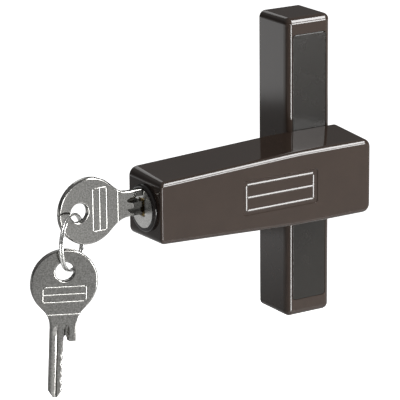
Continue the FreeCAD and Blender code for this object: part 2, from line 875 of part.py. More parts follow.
def ring_self_gap():
    """Least gap between the two turns, from points a full turn apart."""
    least = ring_radius
    span = [ring_crossing_span / 2 + step for step in range(int(360 - ring_crossing_span))]
    upper = [ring_point(angle + 360)[0] for angle in span]
    for angle in span:
        here = ring_point(angle)[0]
        least = min(least, min(here.distanceToPoint(other) for other in upper))
    return least - 2 * ring_wire_radius


# Spare key, hanging with its blade down

def place_spare_key():
    key = make_key()
    key.translate(Vector(-key_hole_distance, 0, 0))
    key.rotate(Vector(0, 0, 0), Vector(0, 1, 0), 90 + spare_tilt)
    key.rotate(Vector(0, 0, 0), Vector(0, 0, 1), spare_heading)
    across = Vector(math.cos(math.radians(spare_heading)), math.sin(math.radians(spare_heading)), 0)
    contact = ring_center() + ring_spoke(ring_spare_angle)
    hole = contact - across * (ring_spare_shift_x * key_hole_radius)
    hole = hole - Vector(0, 0, ring_spare_shift_z * key_hole_radius)
    key.translate(hole)
    print("spare key hole", [round(v, 3) for v in hole])
    return key


def main():
    os.makedirs("parts", exist_ok=True)
    save(make_base(), "base_body")
    save(make_cover(1), "upper_cover")
    save(make_cover(-1), "lower_cover")
    save(make_stud(), "pivot_stud")
    save(make_glide_pad(), "glide_pad")
    save(make_wave_washer(), "wave_washer")
    save(make_index_disc(), "index_disc")
    save(make_stud_nut(), "stud_nut")
    save(make_lever_housing(), "lever_housing")
    save(make_back_plate(), "back_plate")
    save(make_plate_screws(), "back_plate_screws")
    save(make_cylinder_housing(), "cylinder_housing")
    save(make_cylinder_pin(), "cylinder_pin")
    save(make_plug(), "lock_plug")
    save(make_plug_cap(), "plug_cap")
    for i, x in enumerate(wafer_stations()):
        save(make_wafer(x), "wafer_" + str(i + 1))
    save(make_wafer_springs(), "wafer_springs")
    save(make_plug_clip(), "plug_clip")
    save(make_drive_sleeve(), "drive_sleeve")
    save(make_bolt(), "locking_bolt")
    save(drive_pin_shape(), "drive_pin")
    save(place_lock_key(), "lock_key")
    save(make_key_ring(), "key_ring")
    save(place_spare_key(), "spare_key")
    print("least gap between the ring's turns", round(ring_self_gap(), 3))
    print("ring centre", [round(v, 3) for v in ring_center()])


main()
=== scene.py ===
import json
import math

import bmesh
import bpy
from mathutils import Matrix, Vector


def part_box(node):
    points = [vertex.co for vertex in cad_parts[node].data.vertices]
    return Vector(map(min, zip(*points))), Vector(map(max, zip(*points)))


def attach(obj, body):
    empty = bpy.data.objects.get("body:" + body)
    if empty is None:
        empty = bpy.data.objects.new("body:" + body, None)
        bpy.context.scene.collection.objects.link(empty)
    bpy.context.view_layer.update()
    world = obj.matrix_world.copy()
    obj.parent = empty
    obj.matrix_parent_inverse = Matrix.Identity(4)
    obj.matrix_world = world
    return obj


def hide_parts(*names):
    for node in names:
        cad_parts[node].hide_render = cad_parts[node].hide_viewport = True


# Keyed swing-arm window latch: enamelled bar and lever, a key cylinder with a black collar and a
# turned steel cap, and two stamped keys on a split ring.
# Lengths are in metres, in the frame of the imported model.

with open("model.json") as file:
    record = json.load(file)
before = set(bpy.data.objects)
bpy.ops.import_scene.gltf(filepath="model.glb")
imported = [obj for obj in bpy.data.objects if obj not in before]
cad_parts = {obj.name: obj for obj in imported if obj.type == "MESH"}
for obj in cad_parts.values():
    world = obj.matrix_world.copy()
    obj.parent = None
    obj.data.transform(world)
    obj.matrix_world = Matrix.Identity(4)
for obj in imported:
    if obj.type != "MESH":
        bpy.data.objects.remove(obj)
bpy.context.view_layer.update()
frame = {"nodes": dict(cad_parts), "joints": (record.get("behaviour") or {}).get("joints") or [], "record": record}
nodes = frame["nodes"]
pivots = {joint["name"]: joint["pos_m"] for joint in frame["joints"] if "pos_m" in joint}

# Camera, from the outlines of the bar and the lever in a 400 x 400 picture
camera_azimuth = math.radians(-31.93)
camera_elevation = math.radians(16.47)
camera_roll = math.radians(-0.58)
camera_distance = 0.9637
camera_target = Vector((-0.05053, -0.020, -0.00471))
focal_pixels = 2544.4
picture_pixels = 400
sensor_width = 36.0

# Stage
floor_height = -0.5
floor_size = 14.0
floor_color = (0.8, 0.8, 0.8, 1)
white = (1, 1, 1, 1)
# What a mirror sees on the floor behind the latch: distance from the latch and glow there
floor_bands = [(1.25, 0.0), (1.5, 0.45), (1.52, 0.5), (1.54, 0.02), (1.965, 0.02), (2.015, 0.04),
               (2.06, 0.2), (2.105, 1.0), (2.135, 1.15), (2.6, 1.15), (2.75, 0.35)]
band_span = 4.0
# What it sees in front: dark up to a distance, then a glow that grows from left to right
front_edge = (1.0, 1.42)
front_sides = (-0.6, 0.1)
front_glow = (0.03, 0.39)
# Where the front passes into the bands behind, along Y
front_to_back = (-0.5, 0.5)
# Glow of the surroundings in a mirror: height of the direction and glow there
sky_glow = [(0.0, 0.25), (0.03, 0.12), (0.3, 0.12), (0.5, 0.25), (1.0, 0.3)]

# Key light: boxes on a circle of directions, all with the same x, that the long edges mirror to
# the camera
light_target = Vector((-0.03, -0.02, 0))
key_offset = 0.506
key_distance = 1.2
key_width = 0.258
# Name, place on the circle in degrees, height and radiance
key_boxes = [("key_low", 1.6, 0.30, 18.0), ("key_dim", 15.25, 0.19, 2.0),
             ("key_middle", 24.25, 0.136, 8.0), ("key_high", 44.9, 0.62, 18.0)]
# Other soft boxes: name, direction, distance, width, height and radiance
soft_boxes = [("edge_card", (0.205, -0.94, -0.271), 1.1, 0.22, 0.28, 20.0),
              ("spare_card", (-0.06, -0.99, -0.04), 1.1, 0.2, 0.15, 18.0),
              ("rear_box", (0.35, 0.9, -0.2), 1.4, 0.6, 0.4, 4.0),
              ("back_box", (0.2, 0.81, 0.5), 1.4, 0.6, 0.35, 1.1)]


def new_object(name, data):
    obj = bpy.data.objects.new(name, data)
    bpy.context.scene.collection.objects.link(obj)
    return obj


def make_camera():
    forward = Vector((-math.sin(camera_azimuth) * math.cos(camera_elevation),
                      math.cos(camera_azimuth) * math.cos(camera_elevation),
                      -math.sin(camera_elevation)))
    level_right = forward.cross(Vector((0, 0, 1))).normalized()
    level_up = level_right.cross(forward)
    right = level_right * math.cos(camera_roll) + level_up * math.sin(camera_roll)
    up = right.cross(forward)
    data = bpy.data.cameras.new("camera")
    data.sensor_width = sensor_width
    data.lens = focal_pixels / picture_pixels * sensor_width
    data.clip_start = 0.01
    data.clip_end = 50.0
    camera = new_object("camera", data)
    axes = Matrix((right, up, -forward)).transposed().to_4x4()
    camera.matrix_world = Matrix.Translation(camera_target - forward * camera_distance) @ axes
    bpy.context.scene.camera = camera


# Materials

def link(tree, a, a_socket, b, b_socket):
    tree.links.new(a.outputs[a_socket], b.inputs[b_socket])


def add_node(tree, kind, **values):
    node = tree.nodes.new("ShaderNode" + kind)
    for name, value in values.items():
        setattr(node, name, value)
    return node


def noise(tree, scale, detail=3.0, stretch=(1, 1, 1), roughness=0.5):
    """Noise in each piece's own coordinates; the scale is in features per metre."""
    place = add_node(tree, "TexCoord")
    mapping = add_node(tree, "Mapping")
    mapping.inputs["Scale"].default_value = stretch
    link(tree, place, "Object", mapping, "Vector")
    texture = add_node(tree, "TexNoise")
    texture.inputs["Scale"].default_value = scale
    texture.inputs["Detail"].default_value = detail
    texture.inputs["Roughness"].default_value = roughness
    link(tree, mapping, "Vector", texture, "Vector")
    return texture


def ramp(tree, source, stops, socket="Fac"):
    node = add_node(tree, "ValToRGB")
    elements = node.color_ramp.elements
    while len(elements) < len(stops):
        elements.new(0.5)
    for element, (place, color) in zip(elements, stops):
        element.position = place
        element.color = (*color, 1.0)
    link(tree, source, socket, node, "Fac")
    return node


def map_range(tree, source, socket, limits, result=(0.0, 1.0), **values):
    node = add_node(tree, "MapRange", **values)
    for name, value in zip(("From Min", "From Max", "To Min", "To Max"), (*limits, *result)):
        node.inputs[name].default_value = value
    link(tree, source, socket, node, "Value")
    return node


def calculate(tree, operation, a, a_socket, b, b_socket, **values):
    node = add_node(tree, "Math", operation=operation, **values)
    link(tree, a, a_socket, node, 0)
    link(tree, b, b_socket, node, 1)
    return node


def rough_spots(tree, shader, texture, least, most):
    """Roughness that follows a noise, most of which lies between 0.3 and 0.7."""
    link(tree, map_range(tree, texture, "Fac", (0.3, 0.7), (least, most)), "Result", shader, "Roughness")


def bump(tree, texture, strength, distance, before=None):
    node = add_node(tree, "Bump")
    node.inputs["Strength"].default_value = strength
    node.inputs["Distance"].default_value = distance
    link(tree, texture, "Fac", node, "Height")
    if before is not None:
        link(tree, before, "Normal", node, "Normal")
    return node


def start_material(name):
    material = bpy.data.materials.new(name)
    material.use_nodes = True
    tree = material.node_tree
    return material, tree, tree.nodes["Principled BSDF"]


def paint(name, dark, light, rough, peel):
    """Glossy enamel over a casting: faint mottling and a very shallow waviness."""
    material, tree, shader = start_material(name)
    cloud = noise(tree, scale=90.0, detail=4.0)
    tint = ramp(tree, cloud, [(0.3, dark), (0.7, light)])
    link(tree, tint, "Color", shader, "Base Color")
    rough_spots(tree, shader, noise(tree, scale=60.0), rough * 0.85, rough * 1.2)
    skin = bump(tree, noise(tree, scale=160.0, detail=1.0), peel, distance=0.0003)
    link(tree, skin, "Normal", shader, "Normal")
    return material


def metal(name, dark, light, rough, grain_scale, stretch=(1, 1, 1), grain=0.15, spread=0.35):
    """Plated or bare metal with a fine stamped or brushed grain."""
    material, tree, shader = start_material(name)
    shader.inputs["Metallic"].default_value = 1.0
    lines = noise(tree, grain_scale, 6.0, stretch, roughness=0.65)
    tint = ramp(tree, lines, [(0.32, dark), (0.68, light)])
    link(tree, tint, "Color", shader, "Base Color")
    speckle = noise(tree, 2600.0, 3.0, stretch, roughness=0.7)
    rough_spots(tree, shader, speckle, rough * (1 - spread), rough * (1 + spread))
    scratch = bump(tree, lines, grain, distance=0.0001)
    pit = bump(tree, speckle, grain, distance=0.0001, before=scratch)
    link(tree, pit, "Normal", shader, "Normal")
    return material


def turned_metal(name, dark, light, rough, anisotropy):
    """Metal faced on a lathe: circular grooves about X stretch its highlights into wedges."""
    material = metal(name, dark, light, rough, grain_scale=700.0, stretch=(0.2, 1, 1))
    tree = material.node_tree
    shader = tree.nodes["Principled BSDF"]
    shader.inputs["Anisotropic"].default_value = anisotropy
    shader.inputs["Anisotropic Rotation"].default_value = 0.25
    around = add_node(tree, "Tangent", direction_type="RADIAL", axis="X")
    link(tree, around, "Tangent", shader, "Tangent")
    return material


def plastic(name, dark, light, rough, grain):
    """Moulded plastic with a fine satin grain."""
    material, tree, shader = start_material(name)
    tint = ramp(tree, noise(tree, scale=120.0, detail=4.0), [(0.3, dark), (0.7, light)])
    link(tree, tint, "Color", shader, "Base Color")
    speckle = noise(tree, scale=2200.0)
    rough_spots(tree, shader, speckle, rough * 0.85, rough * 1.15)
    link(tree, bump(tree, speckle, grain, distance=0.0002), "Normal", shader, "Normal")
    return material


slots = {
    "dark_paint": paint("dark_paint", (0.0375, 0.0257, 0.0199), (0.0415, 0.0286, 0.022), 0.05, 0.01),
    "cover_plastic": plastic("cover_plastic", (0.016, 0.0143, 0.012), (0.018, 0.0162, 0.0138),
                             0.16, 0.01),
    "pad_plastic": plastic("pad_plastic", (0.70, 0.69, 0.65), (0.78, 0.77, 0.73), 0.5, 0.1),
    "zinc_steel": metal("zinc_steel", (0.50, 0.50, 0.48), (0.64, 0.64, 0.62), 0.36, 300.0),
    "spring_steel": metal("spring_steel", (0.42, 0.42, 0.42), (0.56, 0.56, 0.55), 0.3, 400.0),
    "brass": metal("brass", (0.60, 0.44, 0.20), (0.74, 0.57, 0.29), 0.3, 400.0),
    "cap_steel": turned_metal("cap_steel", (0.62, 0.62, 0.60), (0.76, 0.76, 0.74), 0.3, 0.75),
    "key_steel": metal("key_steel", (0.17, 0.168, 0.16), (0.44, 0.435, 0.415), 0.105, 1700.0,
                       grain=0.05, spread=0.25),
    "ring_steel": metal("ring_steel", (0.74, 0.74, 0.73), (0.88, 0.88, 0.86), 0.2, 500.0),
}
# The collar is darker than the lever, with which it shares its slot
collar_black = paint("collar_black", (0.012, 0.010, 0.009), (0.015, 0.012, 0.011), 0.08, 0.015)


def bake(obj):
    """Keeps what the modifiers give as the piece's own mesh."""
    bpy.context.view_layer.update()
    result = bpy.data.meshes.new_from_object(obj.evaluated_get(bpy.context.evaluated_depsgraph_get()))
    obj.modifiers.clear()
    obj.data = result


def smooth(obj, angle_degrees):
    """Smooth shading with sharp edges kept; flat faces keep their own normal up to a fillet."""
    for polygon in obj.data.polygons:
        polygon.use_smooth = True
    obj.data.set_sharp_from_angle(angle=math.radians(angle_degrees))
    step = obj.modifiers.new("normals", "WEIGHTED_NORMAL")
    step.keep_sharp = True
    bake(obj)


def finish_piece(piece, slot, body, node=None, angle=32.0, material=None):
    """Shading with edges over the angle kept sharp, material, the body it rides on and its node."""
    smooth(piece, angle)
    piece.data.materials.clear()
    piece.data.materials.append(material or slots[slot])
    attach(piece, body)
    if node:
        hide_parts(node)


def dress_nodes():
    """Materials of the nodes; those that a piece of the scene replaces are dressed too."""
    for row in frame["record"]["subparts"]:
        node = nodes[row["node"]]
        node.data.materials.clear()
        node.data.materials.append(slots[row["material_slot"]])


# Mesh helpers; outlines are lists of (x, z), and a depth is a distance from the wall

# How far a cutter reaches past the surface that it opens
over = 0.0005
hole_sides = 48
bore_sides = 64


def spin(radius, turn):
    """Point on a circle about the origin."""
    return radius * math.cos(turn), radius * math.sin(turn)


def quarter_round(radius, share):
    """Inset, and drop below the face, at a share of the way up a rounded edge."""
    turn = math.pi / 2 * share
    return radius * (1 - math.cos(turn)), radius * (1 - math.sin(turn))


def rounded_outline(corners, steps):
    """Points round a polygon whose corners are (x, z, radius); steps segments on each arc."""
    points = []
    for i, (x, z, radius) in enumerate(corners):
        here = Vector((x, z))
        back = (Vector(corners[i - 1][:2]) - here).normalized()
        ahead = (Vector(corners[(i + 1) % len(corners)][:2]) - here).normalized()
        half = back.angle(ahead) / 2
        middle = here + (back + ahead).normalized() * (radius / math.sin(half))
        start = here + back * (radius / math.tan(half)) - middle
        end = here + ahead * (radius / math.tan(half)) - middle
        turn = math.pi - 2 * half
        for k in range(steps + 1):
            share = k / steps
            spoke = start * math.sin(turn * (1 - share)) + end * math.sin(turn * share)
            points.append(middle + spoke / math.sin(turn))
    return points


def closed_mesh(name, verts, faces):
    """Mesh whose faces all look outwards."""
    mesh = bpy.data.meshes.new(name)
    mesh.from_pydata(verts, [], faces)
    work = bmesh.new()
    work.from_mesh(mesh)
    bmesh.ops.recalc_face_normals(work, faces=work.faces)
    work.to_mesh(mesh)
    work.free()
    return mesh


def ring_mesh(name, rings):
    """Closed mesh through rings of equal count, capped at both ends."""
    count = len(rings[0])
    verts = [point for ring in rings for point in ring]
    faces = [tuple(reversed(range(count)))]
    for level in range(len(rings) - 1):
        for i in range(count):
            j = (i + 1) % count
            low = level * count
            faces.append((low + i, low + j, low + count + j, low + count + i))
    faces.append(tuple(range((len(rings) - 1) * count, len(rings) * count)))
    return closed_mesh(name, verts, faces)


def tube_mesh(name, rings):
    """Closed band through rings of equal count; the last ring joins the first."""
    count = len(rings[0])
    verts = [point for ring in rings for point in ring]
    faces = []
    for level in range(len(rings)):
        after = (level + 1) % len(rings) * count
        this = level * count
        for i in range(count):
            j = (i + 1) % count
            faces.append((this + i, this + j, after + j, after + i))
    return closed_mesh(name, verts, faces)


def lathe_mesh(name, profile, depth, steps):
    """Closed ring about a line along X at a depth; the profile is a closed list of (x, radius)."""
    rings = []
    for k in range(steps):
        spokes = [(x, spin(radius, 2 * math.pi * k / steps)) for x, radius in profile]
        rings.append([(x, -depth + y, z) for x, (y, z) in spokes])
    return tube_mesh(name, rings)


def combine(obj, other, operation="DIFFERENCE"):
    """Boolean of obj with other, which is used up."""
    step = obj.modifiers.new("boolean", "BOOLEAN")
    step.operation = operation
    step.solver = "EXACT"
    step.object = other
    bake(obj)
    bpy.data.objects.remove(other)


def at_depth(outline, depth):
    return [(x, -depth, z) for x, z in outline]


def stack(name, levels):
    """Solid through outlines of equal count, each with its depth."""
    return new_object(name, ring_mesh(name, [at_depth(outline, depth) for outline, depth in levels]))


def prism(name, outline, depth_from, depth_to):
    return stack(name, [(outline, depth_from), (outline, depth_to)])


def block(name, x0, x1, depth_from, depth_to, z0, z1):
    low, high = sorted((z0, z1))
    return prism(name, [(x0, low), (x1, low), (x1, high), (x0, high)], depth_from, depth_to)


def disc(name, radius, depth_from, depth_to, x, z):
    """Round bar square to the wall."""
    circle = [spin(radius, 2 * math.pi * k / hole_sides) for k in range(hole_sides)]
    return prism(name, [(x + across, z + up) for across, up in circle], depth_from, depth_to)


def rod(name, radius, x0, x1, depth):
    """Round bar along X."""
    circle = [spin(radius, 2 * math.pi * k / bore_sides) for k in range(bore_sides)]
    return new_object(name, ring_mesh(name, [[(x, -depth + y, z) for y, z in circle] for x in (x0, x1)]))


def rectangle(x0, x1, z0, z1, radius):
    """Corners for a rounded outline."""
    return [(x0, z0, radius), (x1, z0, radius), (x1, z1, radius), (x0, z1, radius)]


# Base bar and its covers

bar_low, bar_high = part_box("base_body")
bar_half_width = bar_high.x
bar_half_height = bar_high.z
bar_depth = -bar_low.y
bar_radius = 0.0026
bar_wall = 0.0028
bar_front_wall = 0.004
bar_steps = 12
# Inset of the bar's face as a share of its radius, so that no corner shrinks to a point
face_share = 0.999
pivot_block_half = 0.010
screw_block_half = 0.0066
screw_heights = (0.025, 0.045)
screw_radius = 0.0023
screw_socket_half = 0.0046
screw_seat_depth = 0.010
shank_half = 0.0044
shank_length = 0.0125
cover_left = -0.0075
cover_right = 0.008
cover_inner = 0.014
cover_outer = 0.0533
cover_corner = 0.0015
cover_thickness = 0.0016
cover_gap = 0.00012
cover_rounding = 0.00022
cover_steps = 5
pocket_chamfer = 0.00012
peg_length = 0.0035


def cover_outline(side, inset):
    low, high = sorted((side * cover_inner, side * cover_outer))
    return rounded_outline(rectangle(cover_left + inset, cover_right - inset, low + inset, high - inset,
                                     cover_corner - inset), steps=8)


def screw_socket(name, height, gap, depth_from, depth_to):
    """Square recess over a screw head; a cover's peg is the same with a gap all round."""
    half = screw_socket_half - gap
    return block(name, -half, half, depth_from, depth_to, height - half, height + half)


def bar_shell():
    straight_end = bar_depth - bar_radius
    rings = [(0, 0), (0, straight_end / 2), (0, straight_end)]
    for k in range(1, bar_steps):
        inset, drop = quarter_round(bar_radius, k / bar_steps)
        rings.append((inset, bar_depth - drop))
    rings.append((bar_radius * face_share, bar_depth))
    levels = []
    for inset, depth in rings:
        corners = rectangle(-bar_half_width + inset, bar_half_width - inset,
                            -bar_half_height + inset, bar_half_height - inset, bar_radius - inset)
        levels.append((rounded_outline(corners, bar_steps), depth))
    return stack("bar_shell", levels)


def make_bar():
    bar = bar_shell()
    inner = bar_half_width - bar_wall
    cell_depth = bar_depth - bar_front_wall
    edges = [pivot_block_half]
    for height in screw_heights:
        edges += [height - screw_block_half, height + screw_block_half]
    edges.append(bar_half_height - bar_wall)
    for side in (1, -1):
        for low, high in zip(edges[::2], edges[1::2]):
            combine(bar, block("cell", -inner, inner, -over, cell_depth, side * low, side * high))
        # The pocket widens at the face, which leaves a small chamfer round its rim
        mouth = [(cover_outline(side, -over), bar_depth + over - pocket_chamfer),
                 (cover_outline(side, 0), bar_depth - pocket_chamfer),
                 (cover_outline(side, 0), bar_depth - cover_thickness)]
        combine(bar, stack("pocket", mouth))
        for height in screw_heights:
            combine(bar, screw_socket("socket", side * height, 0, screw_seat_depth, bar_depth))
            combine(bar, disc("screw_hole", screw_radius, -over, bar_depth, 0, side * height))
    combine(bar, block("shank", -shank_half, shank_half, bar_depth - shank_length, bar_depth + over,
                       -shank_half, shank_half))
    finish_piece(bar, "dark_paint", "base", "base_body")


def make_covers():
    floor = bar_depth - cover_thickness
    for side, node in ((1, "upper_cover"), (-1, "lower_cover")):
        levels = [(cover_outline(side, cover_gap), floor)]
        for k in range(cover_steps + 1):
            inset, drop = quarter_round(cover_rounding, k / cover_steps)
            levels.append((cover_outline(side, cover_gap + inset), bar_depth - drop))
        cover = stack(node + "_shell", levels)
        for height in screw_heights:
            peg = screw_socket("peg", side * height, cover_gap, floor - peg_length, floor + over)
            combine(cover, peg, "UNION")
        finish_piece(cover, "cover_plastic", "base", node)


# Lever housing

lever_low, lever_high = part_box("lever_housing")
lever_left = lever_low.x
lever_right = lever_high.x
lever_rear = -lever_high.y
lever_front = -lever_low.y
lever_knee = -0.020
knee_radius = 0.22
lever_half_pivot = lever_high.z
lever_half_end = 0.0129
lever_draft = 0.001
left_radius_rear = 0.0034
left_radius_front = 0.0022
right_radius = 0.0032
front_fillet = 0.0018
left_fillet = 0.0008
least_radius = 0.0004
draft_steps = 6
corner_steps = 10
fillet_steps = 8


def mirrored_corners(upper):
    """All corners of an outline whose lower half mirrors its upper half."""
    return upper + [(x, -z, radius) for x, z, radius in reversed(upper)]


def lever_ring(inset, left_inset, left_radius, right_corner, depth, left_depth):
    """Outline of the lever at one level; the left end may lie at a depth of its own."""
    left = lever_left + left_inset
    right = lever_right - inset
    half_right = lever_half_pivot - inset
    half_left = lever_half_end - inset
    upper = [(left, half_left, left_radius), (lever_knee, half_right, knee_radius),
             (right, half_right, right_corner)]
    ring = []
    for i, (x, z) in enumerate(rounded_outline(mirrored_corners(upper), corner_steps)):
        corner, step = divmod(i, corner_steps + 1)
        # The first and the last corner lie at the left end and lead over to its depth
        share = {0: step / corner_steps, 5: 1 - step / corner_steps}.get(corner, 1.0)
        ring.append((x, -(left_depth + (depth - left_depth) * share), z))
    return ring


def lever_shell():
    rings = []
    straight_end = lever_front - front_fillet
    left_end = lever_front - left_fillet
    for k in range(draft_steps + 1):
        share = k / draft_steps
        depth = lever_rear + (straight_end - lever_rear) * share
        left_depth = lever_rear + (left_end - lever_rear) * share
        lean = lever_draft * share
        left_radius = left_radius_rear + (left_radius_front - left_radius_rear) * share
        rings.append(lever_ring(lean, 0, left_radius, right_radius, depth, left_depth))
    for k in range(1, fillet_steps + 1):
        inset, drop = quarter_round(front_fillet, k / fillet_steps)
        left_inset, left_drop = quarter_round(left_fillet, k / fillet_steps)
        left_radius = max(left_radius_front - inset, least_radius)
        right_corner = max(right_radius - inset, least_radius)
        rings.append(lever_ring(lever_draft + inset, left_inset, left_radius, right_corner,
                                lever_front - drop, lever_front - left_drop))
    return new_object("lever_shell", ring_mesh("lever_shell", rings))


# Inside the lever: back plate, two pockets with the bolt's channel between them, bore and pin
plate_front = 0.0214
plate_left = -0.0573
plate_lip = 0.0013
plate_radius = 0.0001
pocket_left = -0.0555
pocket_wall = 0.0022
pocket_floor = 0.0395
pocket_radius = 0.0015
guide_left = -0.0385
guide_right = -0.0150
channel_half = 0.00365
channel_radius = 0.0005
axis_depth = -pivots["plug_turn"][1]
bore_radius = 0.00805
pin_x = -0.070
pin_radius = 0.00152
pin_end = 0.02395
# Panel in the lever's front, and the section of its raised frame
panel_half_length = 0.0167
panel_half_height = 0.0066
panel_center = (-0.0283, 0)
panel_depth = 0.0003
panel_radius = 0.0009
panel_slope = 0.0003
bead_inset = 0.0011
bead_width = 0.0010
bead_foot = 0.00015
bead_shoulder = 0.00007
bead_height = 0.00013
bead_sink = 0.00005


def lever_half(x):
    """Half of the lever's height at its rear, from the left end to the knee and on."""
    share = (x - lever_left) / (lever_knee - lever_left)
    return min(lever_half_end + (lever_half_pivot - lever_half_end) * share, lever_half_pivot)


def plate_outline():
    """Recess for the back plate, a lip's width inside the lever's outline."""
    right = lever_right - plate_lip
    half_right = lever_half_pivot - plate_lip
    upper = [(plate_left, lever_half(plate_left) - plate_lip, plate_radius),
             (lever_knee, half_right, knee_radius), (right, half_right, plate_radius)]
    return rounded_outline(mirrored_corners(upper), steps=6)


def panel_outline(inset, radius):
    x, z = panel_center
    return rounded_outline(rectangle(x - panel_half_length + inset, x + panel_half_length - inset,
                                     z - panel_half_height + inset, z + panel_half_height - inset,
                                     radius), steps=8)


def pin_cutter(depth_to):
    """Hole for the pin that holds the cylinder in the lever."""
    return disc("pin_hole", pin_radius, lever_rear - over, depth_to, pin_x, 0)


def make_lever():
    lever = lever_shell()
    combine(lever, prism("plate_recess", plate_outline(), lever_rear - over, plate_front))
    pocket_inset = pocket_wall + lever_draft / 2
    for left, right in ((pocket_left, guide_left), (guide_right, lever_right - pocket_inset)):
        half_left = lever_half(left) - pocket_inset
        half_right = lever_half(right) - pocket_inset
        corners = [(left, -half_left, pocket_radius), (right, -half_right, pocket_radius),
                   (right, half_right, pocket_radius), (left, half_left, pocket_radius)]
        outline = rounded_outline(corners, steps=4)
        combine(lever, prism("pocket", outline, plate_front - over, pocket_floor))
    combine(lever, rod("bore", bore_radius, lever_left - over, pocket_left + over, axis_depth))
    channel = rounded_outline(rectangle(guide_left - over, guide_right + over,
                                        -channel_half, channel_half, channel_radius), steps=3)
    combine(lever, prism("channel", channel, axis_depth - channel_half, axis_depth + channel_half))
    combine(lever, pin_cutter(axis_depth))
    levels = [(panel_outline(-panel_slope, panel_radius), lever_front + panel_depth),
              (panel_outline(-panel_slope / 2, panel_radius), lever_front),
              (panel_outline(panel_slope / 2, panel_radius), lever_front - panel_depth)]
    combine(lever, stack("panel", levels))
    finish_piece(lever, "dark_paint", "lever", "lever_housing")


def make_panel_frame():
    """Raised frame in the panel's recess and its middle line."""
    floor_depth = lever_front - panel_depth
    # Steep at the feet and gently sloped to the crest
    section = [(0, -bead_sink), (0, 0), (bead_foot, bead_shoulder), (bead_width / 2, bead_height),
               (bead_width - bead_foot, bead_shoulder), (bead_width, 0), (bead_width, -bead_sink)]
    rings = [at_depth(panel_outline(bead_inset + inset, panel_radius - inset / 2), floor_depth + height)
             for inset, height in section]
    bead = new_object("panel_bead", tube_mesh("panel_bead", rings))
    finish_piece(bead, "dark_paint", "lever", angle=12)
    reach = panel_half_length - bead_inset - bead_width
    x, z = panel_center
    ends = [[(x + side * reach, -floor_depth - height, z - bead_width / 2 + across)
             for across, height in section] for side in (-1, 1)]
    rib = new_object("panel_rib", ring_mesh("panel_rib", ends))
    finish_piece(rib, "dark_paint", "lever", angle=12)


# Key cylinder: the collar stands out of the lever's end

cylinder_low, cylinder_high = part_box("cylinder_housing")
collar_face = cylinder_low.x
collar_radius = cylinder_high.z
collar_rounding = 0.0009
collar_steps = 6
collar_sides = 96
cylinder_radius = 0.008
cylinder_rear = cylinder_high.x
head_bore = 0.00745
plug_bore = 0.00555
head_seat = -0.07985
rim_bevel = 0.00012


def make_cylinder():
    profile = [(collar_face + rim_bevel, head_bore), (collar_face, head_bore + rim_bevel)]
    for k in range(collar_steps + 1):
        inset, drop = quarter_round(collar_rounding, k / collar_steps)
        profile.append((collar_face + inset, collar_radius - drop))
    profile += [(lever_left, collar_radius), (lever_left, cylinder_radius),
                (cylinder_rear, cylinder_radius), (cylinder_rear, plug_bore),
                (head_seat, plug_bore), (head_seat, head_bore)]
    housing = new_object("cylinder_body", lathe_mesh("cylinder_body", profile, axis_depth, collar_sides))
    combine(housing, pin_cutter(pin_end))
    finish_piece(housing, "dark_paint", "lever", "cylinder_housing", material=collar_black)


# Keys, drawn with the bow's end at the origin, the blade along +X and the stop's side up

bow_radius = 0.0126
bow_steps = 96
key_thickness = 0.0022
key_hole_distance = 0.00835
key_hole_radius = 0.0035
key_hole_steps = 64
key_rim = 0.0006
weld_distance = 1e-6
shoulder_half = 0.00495
neck_start = 0.026
neck_radius = 0.009
neck_steps = 8
block_length = 0.0352
blade_height = 0.00515
blade_length = 0.05648
tip_length = 0.0026
tip_half = 0.0008
cut_depths = [0.00035, 0.00055, 0.00025, 0.0005, 0.0003]
cut_flat = 0.0009
cut_pitch = 0.0032
first_cut = 0.03985
# Raised lines on the bow and the neck
frame_start = 0.0138
frame_length = 0.0063
frame_half = 0.0084
frame_radius = 0.0011
frame_line = 0.0006
neck_line_distance = 0.0246
neck_line_half = 0.006174
line_height = 0.00006
line_sink = 0.0001
line_steps = 8
# Milling wheel of the grooves
cutter_radius = 0.014
cutter_over = 0.004
cutter_steps = 96
groove_start = 0.0284
# Grooves: height of the lower edge, width, face milled, and depths across the floor
grooves = [(0.00515, 0.00215, -1, (0.0016, 0.0024, 0.0026, 0.0024, 0.0016)),
           (0.00095, 0.0021, -1, (0.0001, 0.00032, 0.00045, 0.00056, 0.00064, 0.00066)),
           (0.0031, 0.0015, 1, (0.0001, 0.0005, 0.0006, 0.0005, 0.0001))]


def key_outline():
    """Bow, tangent flanks, neck, stop block and blade, as points (x, z)."""
    half = shoulder_half
    reach_x = neck_start - bow_radius
    turn = math.atan2(half, reach_x) + math.acos(bow_radius / math.hypot(reach_x, half))
    points = []
    for k in range(bow_steps + 1):
        angle = turn + (2 * math.pi - 2 * turn) * k / bow_steps
        x, z = spin(bow_radius, angle)
        points.append(Vector((bow_radius + x, z)))
    flank = (points[0] - Vector((neck_start, half))).normalized()
    bend = math.pi - math.acos(flank.x)
    center = Vector((neck_start + neck_radius * math.tan(bend / 2), half + neck_radius))
    neck_points = []
    for k in range(neck_steps + 1):
        angle = -math.pi / 2 - bend * k / neck_steps
        neck_points.append(center + Vector(spin(1, angle)) * neck_radius)
    bottom = -half
    top = bottom + blade_height
    middle = (bottom + top) / 2
    tip_start = blade_length - tip_length
    points += [Vector((p.x, -p.y)) for p in reversed(neck_points)]
    points += [Vector((tip_start, bottom)), Vector((blade_length, middle - tip_half)),
               Vector((blade_length, middle + tip_half)), Vector((tip_start, top))]
    flat = cut_flat / 2
    for i, depth in reversed(list(enumerate(cut_depths))):
        station = first_cut + cut_pitch * i
        points += [Vector((station + flat + depth, top)), Vector((station + flat, top - depth)),
                   Vector((station - flat, top - depth)), Vector((station - flat - depth, top))]
    points += [Vector((block_length, top)), Vector((block_length, half))]
    points += neck_points
    return points


